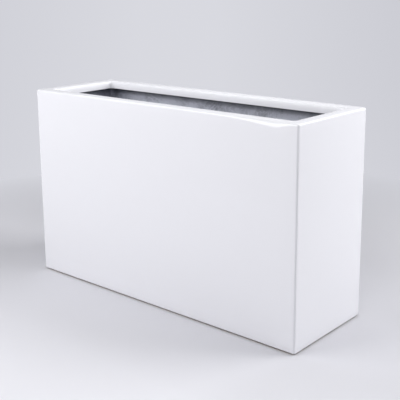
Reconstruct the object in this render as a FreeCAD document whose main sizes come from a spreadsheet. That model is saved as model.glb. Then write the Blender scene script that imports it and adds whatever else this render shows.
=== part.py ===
import FreeCAD, Part
import math
import os
import re
import Sketcher

# Trough planter in millimetres. +X runs along the length, -Y is the front, +Z is up, and the
# origin is on the floor under the middle. The walls, the rim and its return are one moulding.
sizes = [
    ("trough_length", 1000, "overall length"),
    ("trough_width", 330, "overall width"),
    ("trough_height", 604, "floor to rim top"),
    ("foot_gap", 4, "floor to the lower edge of the walls"),
    ("skin", 3, "wall thickness of the moulding"),
    ("corner_radius", 8, "outside radius of the upright corners"),
    ("top_edge_radius", 6, "rounding of the outer top edge"),
    ("skirt_edge_radius", 2, "rounding of the outer bottom edge"),
    ("rim_thickness", 5, "thickness of the rim's flat"),
    ("rim_width", 36, "outer wall face to opening"),
    ("rim_inner_radius", 5, "rounding of the opening's top edge"),
    ("lip_depth", 23, "rim top to the return's lower edge"),
    ("lip_thickness", 4, "thickness of the return"),
    ("lip_edge_radius", 1.2, "rounding of the return's lower edges"),
    ("opening_radius", 18, "corner radius of the opening"),
    ("bond_line", 0.2, "glue gap between bonded faces"),
    ("fit_gap", 0.3, "clearance of a loose fit, each side"),
    ("thread_gap", 0.05, "clearance round a screwed-in shank, each side"),
    ("laminate", 3, "thickness of the lining laminate"),
    ("laminate_corner", 12, "inside radius of the lining's corners"),
    ("laminate_top_gap", 8, "lining top to the rim's underside"),
    ("board_thickness", 15, "base boards"),
    ("board_gap", 0.5, "gap between neighbouring base boards"),
    ("skirt_depth", 12, "wall's lower edge to the base board"),
    ("floor_thickness", 3, "laminate floor on the base board"),
    ("strip_width", 14, "batten width"),
    ("strip_height", 10, "batten height"),
    ("strip_end_gap", 8, "long batten's end to the end wall"),
    ("end_screw_margin", 75, "long wall face to an end batten's first screw"),
    ("end_screw_count", 2, "screws in an end batten"),
    ("strip_screw_shank", 4, "batten screw shank diameter"),
    ("strip_screw_head", 8, "batten screw head diameter"),
    ("strip_head_height", 2.5, "batten screw head height"),
    ("strip_screw_bite", 11, "batten screw length inside the board"),
    ("screw_tip", 3, "length of a screw's pointed end"),
    ("foot_diameter", 40, "foot diameter at the board"),
    ("foot_taper", 2, "foot radius lost towards the floor"),
    ("foot_edge_radius", 1.5, "rounding of the foot's lower edge"),
    ("foot_recess", 18, "diameter of the foot's screw recess"),
    ("foot_recess_depth", 8, "depth of the foot's screw recess"),
    ("foot_inset_x", 65, "end wall face to foot centre"),
    ("foot_inset_y", 55, "long wall face to foot centre"),
    ("washer_diameter", 16, "foot washer diameter"),
    ("washer_thickness", 1.5, "foot washer thickness"),
    ("foot_screw_shank", 5, "foot screw shank diameter"),
    ("foot_screw_head", 10, "foot screw head diameter"),
    ("foot_head_height", 3.5, "foot screw head height"),
    ("foot_screw_bite", 11, "foot screw length inside the board"),
    ("drain_inset", 250, "end wall face to drain centre"),
    ("drain_bore", 20, "bore of the drain bush"),
    ("bush_wall", 3, "wall of the drain bush"),
    ("bush_tail", 2, "bush length below its nut"),
    ("bush_chamfer", 1, "chamfer at the top of the bore"),
    ("flange_width", 8, "drain flange beyond the bush"),
    ("flange_thickness", 3, "drain flange thickness"),
    ("flange_edge_radius", 1.2, "rounding of the flange's top edge"),
    ("seal_thickness", 2, "rubber ring under the flange"),
    ("seal_inset", 2, "flange edge to seal edge"),
    ("nut_wall", 4, "drain nut's wall at its flats"),
    ("nut_thickness", 6, "drain nut thickness"),
    ("plug_head_diameter", 30, "plug head diameter"),
    ("plug_head_thickness", 4, "plug head thickness"),
    ("plug_edge_radius", 1.2, "rounding of the plug head's top edge"),
    ("plug_length", 20, "plug length inside the bush"),
    ("plug_taper", 1, "plug radius lost towards its end"),
    ("tab_width", 18, "pull tab width"),
    ("tab_thickness", 5, "pull tab thickness"),
    ("tab_height", 16, "pull tab height"),
    ("tab_corner", 3.5, "pull tab corner radius"),
    ("brace_level", 300, "floor to brace centre"),
    ("brace_section", 30, "outside of the square brace tube"),
    ("brace_wall", 2.5, "wall of the brace tube"),
    ("brace_corner", 3.5, "outside corner radius of the brace tube"),
    ("shoe_width", 90, "brace shoe plate width"),
    ("shoe_height", 80, "brace shoe plate height"),
    ("shoe_plate", 4, "brace shoe plate thickness"),
    ("shoe_corner", 10, "brace shoe plate corner radius"),
    ("shoe_cheek", 5, "thickness of the cradle's cheeks and floor"),
    ("shoe_reach", 35, "cradle length from its plate"),
    ("bolt_diameter", 6, "brace bolt shank"),
    ("bolt_head", 11, "brace bolt head diameter"),
    ("bolt_head_height", 3.5, "brace bolt head height"),
    ("bolt_end", 2, "bolt length past its nut"),
    ("brace_nut_flats", 10, "brace nut across flats"),
    ("brace_nut_height", 5, "brace nut height"),
]

# The base is three boards side by side, each with a front and a rear foot.
board_names = ["left", "middle", "right"]
board_count = len(board_names)

# Levels and fits that follow from the sizes above.
derived = [
    ("cavity_radius", "corner_radius - skin", "moulding's inside corner"),
    ("lining_inset", "skin + bond_line", "outer wall face to the lining's back"),
    ("lining_radius", "corner_radius - lining_inset", "lining's outside corner"),
    ("inner_inset", "lining_inset + laminate", "outer wall face to the lining's face"),
    ("lining_top", "trough_height - rim_thickness - laminate_top_gap", "lining's upper edge"),
    ("board_inset", "skin + fit_gap", "outer wall face to the base's edge"),
    ("board_radius", "corner_radius - board_inset", "base's corner"),
    ("board_bottom", "foot_gap + skirt_depth", "underside of the boards"),
    ("board_top", "board_bottom + board_thickness", "top of the boards"),
    ("board_pitch", "(trough_length - 2 * board_inset + board_gap) / %d" % board_count,
     "middle of a board to the middle of the next"),
    ("board_length", "board_pitch - board_gap", "board along the trough"),
    ("board_width", "trough_width - 2 * board_inset", "board across the trough"),
    ("floor_inset", "inner_inset + fit_gap", "outer wall face to the floor's edge"),
    ("floor_top", "board_top + floor_thickness", "top of the laminate floor"),
    ("strip_inset", "skin + bond_line + strip_width / 2", "wall face to a batten's middle"),
    ("strip_bottom", "board_bottom - strip_height", "underside of the battens"),
    ("strip_span_x", "trough_length - 2 * strip_inset", "end batten to end batten"),
    ("strip_span_y", "trough_width - 2 * strip_inset", "long batten to long batten"),
    ("long_strip", "trough_length - 2 * (skin + strip_end_gap)", "length of a long batten"),
    ("end_strip", "strip_span_y - strip_width - 2 * fit_gap", "length of an end batten"),
    ("long_screw_pitch", "board_pitch / 2", "screw to screw, two for each board"),
    ("long_screw_span", "long_screw_pitch * %d" % (2 * board_count - 1), "first to last screw"),
    ("end_screw_span", "trough_width - 2 * end_screw_margin", "first to last screw"),
    ("strip_screw_hole", "strip_screw_shank + 2 * fit_gap", "clearance hole in a batten"),
    ("strip_head_hole", "strip_screw_head + 2 * fit_gap", "head recess in a batten"),
    ("foot_span_x", "trough_length - 2 * foot_inset_x", "first foot to last foot"),
    ("foot_span_y", "trough_width - 2 * foot_inset_y", "front feet to rear feet"),
    ("foot_seat", "foot_recess_depth - washer_thickness", "underside of a foot's washer"),
    ("foot_screw_hole", "foot_screw_shank + 2 * fit_gap", "clearance hole in foot and washer"),
    ("drain_span", "trough_length - 2 * drain_inset", "drain to drain"),
    ("bush_diameter", "drain_bore + 2 * bush_wall", "outside of the drain bush"),
    ("drain_hole", "bush_diameter + 2 * fit_gap", "hole for the drain bush"),
    ("flange_diameter", "bush_diameter + 2 * flange_width", "outside of the drain flange"),
    ("nut_flats", "bush_diameter + 2 * nut_wall", "drain nut across flats"),
    ("bush_neck", "bush_tail + nut_thickness + board_thickness + floor_thickness + seal_thickness",
     "bush length below its flange"),
    ("bush_bottom", "board_bottom - nut_thickness - bush_tail", "lower end of the bush"),
    ("plug_radius", "drain_bore / 2 - fit_gap", "plug under its head"),
    ("flange_top", "floor_top + seal_thickness + flange_thickness", "seat of the plug's head"),
    ("shoe_face", "trough_width / 2 - inner_inset - bond_line", "back of a shoe's plate"),
    ("brace_half", "shoe_face - shoe_plate - fit_gap", "middle to the brace's end"),
    ("slot_width", "brace_section + 2 * fit_gap", "cradle's slot"),
    ("cradle_width", "slot_width + 2 * shoe_cheek", "cradle over its cheeks"),
    ("bolt_hole", "bolt_diameter + 2 * fit_gap", "hole for the brace bolt"),
    ("bolt_line", "shoe_face - shoe_plate - shoe_reach / 2", "middle to a brace bolt"),
]

doc = FreeCAD.newDocument("trough_planter")
sheet = doc.addObject("Spreadsheet::Sheet", "Sizes")


def fill_sheet():
    rows = [(name, str(value), note) for name, value, note in sizes]
    rows += [(name, "=" + formula, note) for name, formula, note in derived]
    for row, (name, content, note) in enumerate(rows, start=1):
        sheet.set("A%d" % row, name)
        sheet.set("B%d" % row, content)
        sheet.set("C%d" % row, note)
        sheet.setAlias("B%d" % row, name)
    doc.recompute()


size_names = {row[0] for row in sizes + derived}


def bound(formula):
    # A formula in size names becomes an expression on the sheet's cells.
    def cell(match):
        word = match.group()
        return "Sizes." + word if word in size_names else word
    return re.sub("[a-z_]+", cell, formula)


def new_body(label, x="0", y="0", z="0", axis=(0, 0, 1), angle=0):
    body = doc.addObject("PartDesign::Body", label)
    body.Label = label
    body.Placement.Rotation = FreeCAD.Rotation(FreeCAD.Vector(*axis), angle)
    for letter, formula in zip("xyz", (x, y, z)):
        body.setExpression("Placement.Base." + letter, bound(formula))
    return body


def origin_item(body, role):
    return next(item for item in body.Origin.OriginFeatures if item.Role == role)


def new_sketch(body, name, plane, right="0", up="0", out="0"):
    # The sketch's own axes are moved right and up in its plane, and out along its normal.
    sketch = body.newObject("Sketcher::SketchObject", name)
    sketch.AttachmentSupport = (origin_item(body, plane), [""])
    sketch.MapMode = "FlatFace"
    for letter, formula in zip("xyz", (right, up, out)):
        sketch.setExpression("AttachmentOffset.Base." + letter, bound(formula))
    return sketch


def dimension(sketch, constraint, formula):
    index = sketch.addConstraint(constraint)
    sketch.setExpression("Constraints[%d]" % index, bound(formula))


def draw_rounded(sketch, length, width, radius):
    # Rectangle about the sketch's origin: four sides and the arcs that join them, drawn first
    # at a plain size that the dimensions then replace.
    half = 2.0
    corner = 1.0
    inner = half - corner
    sides = [
        ((-inner, -half), (inner, -half)),
        ((half, -inner), (half, inner)),
        ((inner, half), (-inner, half)),
        ((-half, inner), (-half, -inner)),
    ]
    centres = [(inner, -inner), (inner, inner), (-inner, inner), (-inner, -inner)]
    side = []
    arc = []
    for start, end in sides:
        side.append(sketch.addGeometry(Part.LineSegment(FreeCAD.Vector(*start), FreeCAD.Vector(*end))))
    for index, centre in enumerate(centres):
        circle = Part.Circle(FreeCAD.Vector(*centre), FreeCAD.Vector(0, 0, 1), corner)
        start = math.radians(90 * (index - 1))
        end = math.radians(90 * index)
        arc.append(sketch.addGeometry(Part.ArcOfCircle(circle, start, end)))
    for index in range(4):
        following = side[(index + 1) % 4]
        level = "Vertical" if index % 2 else "Horizontal"
        sketch.addConstraint(Sketcher.Constraint("Tangent", side[index], 2, arc[index], 1))
        sketch.addConstraint(Sketcher.Constraint("Tangent", arc[index], 2, following, 1))
        sketch.addConstraint(Sketcher.Constraint(level, side[index]))
    for other in arc[1:]:
        sketch.addConstraint(Sketcher.Constraint("Equal", arc[0], other))
    sketch.addConstraint(Sketcher.Constraint("Symmetric", arc[0], 3, arc[2], 3, -1, 1))
    dimension(sketch, Sketcher.Constraint("Radius", arc[0], corner), radius)
    dimension(sketch, Sketcher.Constraint("DistanceX", side[3], 1, side[1], 1, 2 * half), length)
    dimension(sketch, Sketcher.Constraint("DistanceY", side[0], 1, side[2], 1, 2 * half), width)


def draw_circle(sketch, diameter):
    circle = sketch.addGeometry(Part.Circle(FreeCAD.Vector(), FreeCAD.Vector(0, 0, 1), 1))
    sketch.addConstraint(Sketcher.Constraint("Coincident", circle, 3, -1, 1))
    dimension(sketch, Sketcher.Constraint("Diameter", circle, 2), diameter)


def draw_outline(sketch, corners):
    # Closed outline with straight sides. Each corner is a pair of formulas, and the starting
    # corners lie on a circle until the dimensions move them.
    count = len(corners)
    angles = [2 * math.pi * index / count for index in range(count)]
    start = [FreeCAD.Vector(math.cos(angle), math.sin(angle)) for angle in angles]
    line = []
    for index in range(count):
        line.append(sketch.addGeometry(Part.LineSegment(start[index], start[(index + 1) % count])))
    for index in range(count):
        following = line[(index + 1) % count]
        sketch.addConstraint(Sketcher.Constraint("Coincident", line[index], 2, following, 1))
    for index, (across, along) in enumerate(corners):
        dimension(sketch, Sketcher.Constraint("DistanceX", -1, 1, line[index], 1, start[index].x), across)
        dimension(sketch, Sketcher.Constraint("DistanceY", -1, 1, line[index], 1, start[index].y), along)


def rectangle(length, width):
    # Corners of a plain rectangle about the sketch's origin.
    return [
        ("-%s / 2" % length, "-%s / 2" % width),
        ("%s / 2" % length, "-%s / 2" % width),
        ("%s / 2" % length, "%s / 2" % width),
        ("-%s / 2" % length, "%s / 2" % width),
    ]


def draw_hexagon(sketch, flats):
    point = flats + " / sqrt(3)"
    draw_outline(sketch, [
        (point, "0"),
        (point + " / 2", flats + " / 2"),
        ("-" + point + " / 2", flats + " / 2"),
        ("-" + point, "0"),
        ("-" + point + " / 2", "-" + flats + " / 2"),
        (point + " / 2", "-" + flats + " / 2"),
    ])


def pad(body, name, sketch, length, symmetric=False):
    feature = body.newObject("PartDesign::Pad", name)
    feature.Profile = sketch
    if symmetric:
        feature.SideType = "Symmetric"
    feature.setExpression("Length", bound(length))
    return feature


def pocket(body, name, sketch, length):
    feature = body.newObject("PartDesign::Pocket", name)
    feature.Profile = sketch
    feature.setExpression("Length", bound(length))
    return feature


def turn(body, name, corners):
    # Half section in the XZ plane, turned about the body's own Z axis.
    sketch = new_sketch(body, name + "_section", "XZ_Plane")
    draw_outline(sketch, corners)
    feature = body.newObject("PartDesign::Revolution", name)
    feature.Profile = sketch
    feature.ReferenceAxis = (sketch, ["V_Axis"])
    return feature


def spread(body, name, feature, span_x, count_x, span_y="0", count_y="1"):
    # Copies of a feature in a grid, from its own place towards +X and +Y.
    pattern = body.newObject("PartDesign::LinearPattern", name)
    pattern.Originals = [feature]
    pattern.Direction = (origin_item(body, "X_Axis"), [""])
    pattern.Direction2 = (origin_item(body, "Y_Axis"), [""])
    for field, formula in (("Length", span_x), ("Occurrences", count_x),
                           ("Length2", span_y), ("Occurrences2", count_y)):
        pattern.setExpression(field, bound(formula))
    body.Tip = pattern
    return pattern


def round_edges(body, name, base, radius, chosen):
    doc.recompute()
    edges = ["Edge%d" % number for number, edge in enumerate(base.Shape.Edges, start=1) if chosen(edge)]
    feature = body.newObject("PartDesign::Fillet", name)
    feature.Base = (base, edges)
    feature.setExpression("Radius", bound(radius))
    return feature


def at_level(edge, level):
    box = edge.BoundBox
    return abs(box.ZMin - level) < tolerance and abs(box.ZMax - level) < tolerance


def on_outline(edge):
    # True for an edge that touches the trough's outer faces.
    box = edge.BoundBox
    reach_x = max(-box.XMin, box.XMax)
    reach_y = max(-box.YMin, box.YMax)
    outer_x = sheet.trough_length / 2 - tolerance
    outer_y = sheet.trough_width / 2 - tolerance
    return reach_x > outer_x or reach_y > outer_y


def is_upright(edge, reach):
    # True for an upright edge at that distance from the middle, towards either end.
    box = edge.BoundBox
    upright = box.XLength < tolerance and box.YLength < tolerance
    return upright and abs(abs(box.XMin) - reach) < tolerance


def is_ring(edge, level, diameter):
    # True for a full circle of that diameter at that level.
    round_edge = edge.Curve.TypeId == "Part::GeomCircle" and edge.isClosed()
    return round_edge and at_level(edge, level) and abs(2 * edge.Curve.Radius - diameter) < tolerance


def make_outer_shell():
    body = new_body("outer_shell")
    outline = new_sketch(body, "shell_outline", "XY_Plane", out="foot_gap")
    draw_rounded(outline, "trough_length", "trough_width", "corner_radius")
    pad(body, "shell_block", outline, "trough_height - foot_gap")
    cavity = new_sketch(body, "cavity_outline", "XY_Plane", out="trough_height - rim_thickness")
    draw_rounded(cavity, "trough_length - 2 * skin", "trough_width - 2 * skin", "cavity_radius")
    pocket(body, "cavity", cavity, "trough_height - rim_thickness - foot_gap")
    lip = new_sketch(body, "lip_outline", "XY_Plane", out="trough_height - lip_depth")
    draw_rounded(lip, "trough_length - 2 * (rim_width - lip_thickness)",
                 "trough_width - 2 * (rim_width - lip_thickness)", "opening_radius + lip_thickness")
    pad(body, "lip", lip, "lip_depth")
    mouth = new_sketch(body, "opening_outline", "XY_Plane", out="trough_height")
    draw_rounded(mouth, "trough_length - 2 * rim_width", "trough_width - 2 * rim_width", "opening_radius")
    shape = pocket(body, "opening", mouth, "lip_depth")
    top = sheet.trough_height
    lip_end = top - sheet.lip_depth
    bottom = sheet.foot_gap
    shape = round_edges(body, "lip_edges", shape, "lip_edge_radius",
                        lambda edge: at_level(edge, lip_end))
    shape = round_edges(body, "opening_edge", shape, "rim_inner_radius",
                        lambda edge: at_level(edge, top) and not on_outline(edge))
    shape = round_edges(body, "skirt_edge", shape, "skirt_edge_radius",
                        lambda edge: at_level(edge, bottom) and on_outline(edge))
    round_edges(body, "top_edge", shape, "top_edge_radius",
                lambda edge: at_level(edge, top) and on_outline(edge))


def make_inner_laminate():
    body = new_body("inner_laminate")
    ring = new_sketch(body, "lining_outline", "XY_Plane", out="board_top")
    draw_rounded(ring, "trough_length - 2 * lining_inset", "trough_width - 2 * lining_inset",
                 "lining_radius")
    draw_rounded(ring, "trough_length - 2 * inner_inset", "trough_width - 2 * inner_inset",
                 "laminate_corner")
    pad(body, "lining", ring, "lining_top - board_top")


def drill_drain(body, side, level, depth):
    name = "%s_drain_%s" % (body.Label, side)
    sketch = new_sketch(body, name, "XY_Plane", right=drain_place[side], out=level)
    draw_circle(sketch, "drain_hole")
    pocket(body, name + "_hole", sketch, depth)


def drill_pilots(body, name, diameter, bite, middle, grid):
    # Blind holes in the underside of a board, about its middle, for screws driven from below.
    span_x, count_x, span_y, count_y = grid
    sketch = new_sketch(body, name, "XY_Plane", right="%s - %s / 2" % (middle, span_x),
                        up="-%s / 2" % span_y, out="board_bottom + " + bite)
    draw_circle(sketch, diameter + " + 2 * thread_gap")
    hole = pocket(body, name + "_hole", sketch, bite)
    spread(body, name + "_holes", hole, span_x, count_x, span_y, count_y)


def make_base_board(side):
    label = "base_board_" + side
    body = new_body(label)
    outline = new_sketch(body, label + "_outline", "XY_Plane", right=board_place[side], out="board_bottom")
    draw_outline(outline, rectangle("board_length", "board_width"))
    board = pad(body, label + "_board", outline, "board_thickness")
    end = sheet.trough_length / 2 - sheet.board_inset
    if side in drain_place:
        round_edges(body, label + "_corners", board, "board_radius", lambda edge: is_upright(edge, end))
        drill_drain(body, side, "board_top", "board_thickness")
        drill_pilots(body, label + "_end_pilot", "strip_screw_shank", "strip_screw_bite",
                     end_strip_place[side], ("0", "1", "end_screw_span", "end_screw_count"))
    drill_pilots(body, label + "_foot_pilot", "foot_screw_shank", "foot_screw_bite",
                 foot_place[side], ("0", "1", "foot_span_y", "2"))
    drill_pilots(body, label + "_long_pilot", "strip_screw_shank", "strip_screw_bite",
                 board_place[side], ("long_screw_pitch", "2", "strip_span_y", "2"))


def make_floor_skin():
    body = new_body("floor_skin")
    outline = new_sketch(body, "floor_outline", "XY_Plane", out="board_top")
    draw_rounded(outline, "trough_length - 2 * floor_inset", "trough_width - 2 * floor_inset",
                 "laminate_corner - fit_gap")
    pad(body, "floor", outline, "floor_thickness")
    for side in drain_place:
        drill_drain(body, side, "floor_top", "floor_thickness")


def make_strip(label, x, y, angle, length, screw_span, screw_count):
    # Batten along its own X axis, with its screw holes and their head recesses.
    body = new_body(label, x, y, "strip_bottom", angle=angle)
    outline = new_sketch(body, label + "_outline", "XY_Plane")
    draw_outline(outline, rectangle(length, "strip_width"))
    pad(body, label + "_batten", outline, "strip_height")
    for name, diameter, level in (("shank", "strip_screw_hole", "strip_height"),
                                  ("head", "strip_head_hole", "strip_head_height")):
        sketch = new_sketch(body, "%s_%s" % (label, name), "XY_Plane",
                            right="-%s / 2" % screw_span, out=level)
        draw_circle(sketch, diameter)
        hole = pocket(body, "%s_%s_hole" % (label, name), sketch, level)
        spread(body, "%s_%s_holes" % (label, name), hole, screw_span, screw_count)


def make_screws(label, bottom, head, head_height, shank, length, grid):
    # Headed, pointed screws that stand on their heads, in a grid.
    span_x, count_x, span_y, count_y = grid
    body = new_body(label, "-%s / 2" % span_x, "-%s / 2" % span_y, bottom)
    screw = turn(body, label + "_screw", [
        ("0", "0"),
        (head + " / 2", "0"),
        (head + " / 2", head_height),
        (shank + " / 2", head_height),
        (shank + " / 2", "%s + %s - screw_tip" % (head_height, length)),
        ("0", "%s + %s" % (head_height, length)),
    ])
    spread(body, label + "_grid", screw, span_x, count_x, span_y, count_y)


def make_foot(label, x, y):
    body = new_body(label, x, y)
    foot = turn(body, label + "_turned", [
        ("foot_recess / 2", "0"),
        ("foot_diameter / 2 - foot_taper", "0"),
        ("foot_diameter / 2", "board_bottom"),
        ("foot_screw_hole / 2", "board_bottom"),
        ("foot_screw_hole / 2", "foot_recess_depth"),
        ("foot_recess / 2", "foot_recess_depth"),
    ])
    sole = sheet.foot_diameter - 2 * sheet.foot_taper
    round_edges(body, label + "_edge", foot, "foot_edge_radius", lambda edge: is_ring(edge, 0, sole))


def make_feet():
    for row, sign in (("front", "-"), ("rear", "")):
        for side in board_names:
            make_foot("foot_%s_%s" % (row, side), foot_place[side], sign + "foot_span_y / 2")
    span_x, count_x, span_y, count_y = foot_grid
    body = new_body("foot_washers", "-%s / 2" % span_x, "-%s / 2" % span_y, "foot_seat")
    washer = turn(body, "washer", [
        ("foot_screw_hole / 2", "0"),
        ("washer_diameter / 2", "0"),
        ("washer_diameter / 2", "washer_thickness"),
        ("foot_screw_hole / 2", "washer_thickness"),
    ])
    spread(body, "washer_grid", washer, span_x, count_x, span_y, count_y)
    make_screws("foot_screws", "foot_seat - foot_head_height", "foot_screw_head", "foot_head_height",
                "foot_screw_shank", "board_bottom - foot_seat + foot_screw_bite", foot_grid)


def make_drain_bush(label, x):
    body = new_body(label, x, z="bush_bottom")
    bush = turn(body, label + "_turned", [
        ("drain_bore / 2", "0"),
        ("bush_diameter / 2", "0"),
        ("bush_diameter / 2", "bush_neck"),
        ("flange_diameter / 2", "bush_neck"),
        ("flange_diameter / 2", "bush_neck + flange_thickness"),
        ("drain_bore / 2 + bush_chamfer", "bush_neck + flange_thickness"),
        ("drain_bore / 2", "bush_neck + flange_thickness - bush_chamfer"),
    ])
    rim = sheet.bush_neck + sheet.flange_thickness
    round_edges(body, label + "_edge", bush, "flange_edge_radius",
                lambda edge: is_ring(edge, rim, sheet.flange_diameter))


def make_drain_seal(label, x):
    body = new_body(label, x, z="floor_top")
    turn(body, label + "_turned", [
        ("drain_hole / 2", "0"),
        ("flange_diameter / 2 - seal_inset", "0"),
        ("flange_diameter / 2 - seal_inset", "seal_thickness"),
        ("drain_hole / 2", "seal_thickness"),
    ])


def make_drain_nut(label, x):
    body = new_body(label, x, z="board_bottom - nut_thickness")
    sketch = new_sketch(body, label + "_outline", "XY_Plane")
    draw_hexagon(sketch, "nut_flats")
    draw_circle(sketch, "bush_diameter + 2 * thread_gap")
    pad(body, label + "_hexagon", sketch, "nut_thickness")


def make_drain_plug(label, x):
    # Tapered rubber plug whose head sits on the flange, with a tab to pull it by.
    body = new_body(label, x, z="flange_top - plug_length")
    plug = turn(body, label + "_turned", [
        ("0", "0"),
        ("plug_radius - plug_taper", "0"),
        ("plug_radius", "plug_length"),
        ("plug_head_diameter / 2", "plug_length"),
        ("plug_head_diameter / 2", "plug_length + plug_head_thickness"),
        ("0", "plug_length + plug_head_thickness"),
    ])
    head_top = sheet.plug_length + sheet.plug_head_thickness
    round_edges(body, label + "_edge", plug, "plug_edge_radius",
                lambda edge: is_ring(edge, head_top, sheet.plug_head_diameter))
    tab = new_sketch(body, label + "_tab_outline", "XZ_Plane",
                     up="plug_length + plug_head_thickness + (tab_height - tab_corner) / 2")
    draw_rounded(tab, "tab_width", "tab_height + tab_corner", "tab_corner")
    pad(body, label + "_tab", tab, "tab_thickness", symmetric=True)


def make_drains():
    for side, x in drain_place.items():
        make_drain_bush("drain_bush_" + side, x)
        make_drain_seal("drain_seal_" + side, x)
        make_drain_nut("drain_nut_" + side, x)
        make_drain_plug("drain_plug_" + side, x)


def make_centre_brace():
    body = new_body("centre_brace", z="brace_level")
    section = new_sketch(body, "brace_outline", "XZ_Plane")
    draw_rounded(section, "brace_section", "brace_section", "brace_corner")
    draw_rounded(section, "brace_section - 2 * brace_wall", "brace_section - 2 * brace_wall",
                 "brace_corner - brace_wall")
    pad(body, "brace_tube", section, "2 * brace_half", symmetric=True)
    sketch = new_sketch(body, "brace_bolt", "YZ_Plane", right="-bolt_line", out="brace_section / 2")
    draw_circle(sketch, "bolt_hole")
    hole = pocket(body, "brace_bolt_hole", sketch, "brace_section")
    spread(body, "brace_bolt_holes", hole, "0", "1", "2 * bolt_line", "2")


def make_brace_shoe(label, y, angle):
    # Plate against the wall, with a cradle that is open at the top. Its own +Y points inwards.
    body = new_body(label, y=y, z="brace_level", angle=angle)
    plate = new_sketch(body, label + "_plate_outline", "XZ_Plane", out="-shoe_plate")
    draw_rounded(plate, "shoe_width", "shoe_height", "shoe_corner")
    pad(body, label + "_plate", plate, "shoe_plate")
    cradle = new_sketch(body, label + "_cradle_outline", "XZ_Plane", out="-shoe_plate - shoe_reach")
    draw_outline(cradle, [
        ("-cradle_width / 2", "-brace_section / 2 - shoe_cheek"),
        ("cradle_width / 2", "-brace_section / 2 - shoe_cheek"),
        ("cradle_width / 2", "brace_section / 2"),
        ("slot_width / 2", "brace_section / 2"),
        ("slot_width / 2", "-brace_section / 2"),
        ("-slot_width / 2", "-brace_section / 2"),
        ("-slot_width / 2", "brace_section / 2"),
        ("-cradle_width / 2", "brace_section / 2"),
    ])
    pad(body, label + "_cradle", cradle, "shoe_reach")
    sketch = new_sketch(body, label + "_bolt", "YZ_Plane", right="shoe_plate + shoe_reach / 2",
                        out="cradle_width / 2")
    draw_circle(sketch, "bolt_hole")
    pocket(body, label + "_bolt_hole", sketch, "cradle_width")


def make_brace_fasteners():
    # Both groups lie along X: their own Z axis is turned to +X.
    across = {"axis": (0, 1, 0), "angle": 90}
    bolts = new_body("brace_bolts", "-cradle_width / 2 - bolt_head_height", "-bolt_line", "brace_level",
                     **across)
    bolt_length = "bolt_head_height + cradle_width + brace_nut_height + bolt_end"
    bolt = turn(bolts, "bolt", [
        ("0", "0"),
        ("bolt_head / 2", "0"),
        ("bolt_head / 2", "bolt_head_height"),
        ("bolt_diameter / 2", "bolt_head_height"),
        ("bolt_diameter / 2", bolt_length),
        ("0", bolt_length),
    ])
    spread(bolts, "bolt_pair", bolt, "0", "1", "2 * bolt_line", "2")
    nuts = new_body("brace_nuts", "cradle_width / 2", "-bolt_line", "brace_level", **across)
    sketch = new_sketch(nuts, "brace_nut_outline", "XY_Plane")
    draw_hexagon(sketch, "brace_nut_flats")
    draw_circle(sketch, "bolt_diameter + 2 * thread_gap")
    nut = pad(nuts, "brace_nut", sketch, "brace_nut_height")
    spread(nuts, "brace_nut_pair", nut, "0", "1", "2 * bolt_line", "2")


def check_document():
    doc.recompute()
    for item in doc.Objects:
        if {"Invalid", "Error"} & set(item.State):
            raise RuntimeError("%s failed: %s" % (item.Label, item.State))
        if item.TypeId == "PartDesign::Pocket" and item.Shape.Volume >= item.BaseFeature.Shape.Volume:
            raise RuntimeError("%s cuts nothing" % item.Label)
    for body in doc.findObjects("PartDesign::Body"):
        if body.Shape.isNull() or not body.Shape.isValid():
            raise RuntimeError("%s has no valid shape" % body.Label)


def write_parts():
    os.makedirs("parts", exist_ok=True)
    for body in doc.findObjects("PartDesign::Body"):
        body.Shape.exportStep("parts/%s.step" % body.Label)
        print("%s: %d solids, %.0f mm3" % (body.Label, len(body.Shape.Solids), body.Shape.Volume))


tolerance = 1e-4
board_place = {"left": "-board_pitch", "middle": "0", "right": "board_pitch"}
foot_place = {"left": "-foot_span_x / 2", "middle": "0", "right": "foot_span_x / 2"}
drain_place = {"left": "-drain_span / 2", "right": "drain_span / 2"}
end_strip_place = {"left": "-strip_span_x / 2", "right": "strip_span_x / 2"}
foot_grid = ("foot_span_x", str(board_count), "foot_span_y", "2")
long_grid = ("long_screw_span", str(2 * board_count), "strip_span_y", "2")
end_grid = ("strip_span_x", "2", "end_screw_span", "end_screw_count")

fill_sheet()
make_outer_shell()
make_inner_laminate()
for side in board_names:
    make_base_board(side)
make_floor_skin()
for label, y in (("front_strip", "-strip_span_y / 2"), ("rear_strip", "strip_span_y / 2")):
    make_strip(label, "0", y, 0, "long_strip", "long_screw_span", long_grid[1])
for side, x in end_strip_place.items():
    make_strip(side + "_strip", x, "0", 90, "end_strip", "end_screw_span", end_grid[3])
for label, grid in (("long_strip_screws", long_grid), ("end_strip_screws", end_grid)):
    make_screws(label, "strip_bottom", "strip_screw_head", "strip_head_height", "strip_screw_shank",
                "strip_height - strip_head_height + strip_screw_bite", grid)
make_feet()
make_drains()
make_centre_brace()
make_brace_shoe("brace_shoe_front", "-shoe_face", 0)
make_brace_shoe("brace_shoe_rear", "shoe_face", 180)
make_brace_fasteners()
check_document()
write_parts()
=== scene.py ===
import math
import bpy
from mathutils import Matrix, Vector


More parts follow.
